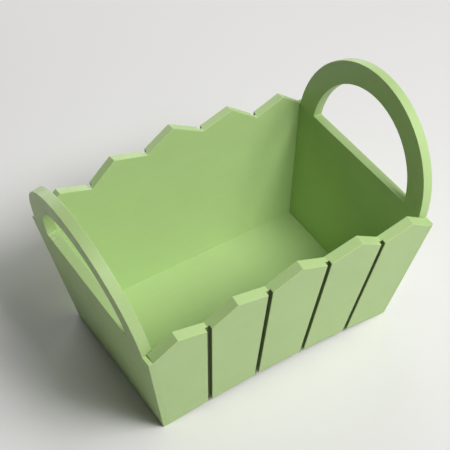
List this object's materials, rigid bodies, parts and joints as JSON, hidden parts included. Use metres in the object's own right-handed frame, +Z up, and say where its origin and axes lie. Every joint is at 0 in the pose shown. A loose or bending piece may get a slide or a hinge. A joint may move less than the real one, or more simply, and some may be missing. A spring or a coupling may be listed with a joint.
{
  "type": "open wooden basket",
  "caption": "Open wooden basket with splayed picket-topped sides, leaning ends that rise into arched handles with hand holes, and a flat floor.",
  "frame": {"origin": "middle of the footprint, on the surface that the basket stands on", "axes": "+Z up, +X along the length towards the right end board, -Y towards the front side board"},
  "size_m": [0.3324, 0.2172, 0.2249],
  "materials": {
    "painted_board": "satin pale-green paint on smooth board",
    "pin_steel": "bright steel"
  },
  "bodies": {
    "root": {"front_side_board": "painted_board", "back_side_board": "painted_board", "left_end_board": "painted_board", "right_end_board": "painted_board", "floor_board": "painted_board", "corner_pins_front_left": "pin_steel", "corner_pins_front_right": "pin_steel", "corner_pins_back_left": "pin_steel", "corner_pins_back_right": "pin_steel", "floor_pins_front": "pin_steel", "floor_pins_back": "pin_steel", "floor_pins_left": "pin_steel", "floor_pins_right": "pin_steel"}
  },
  "joints": []
}
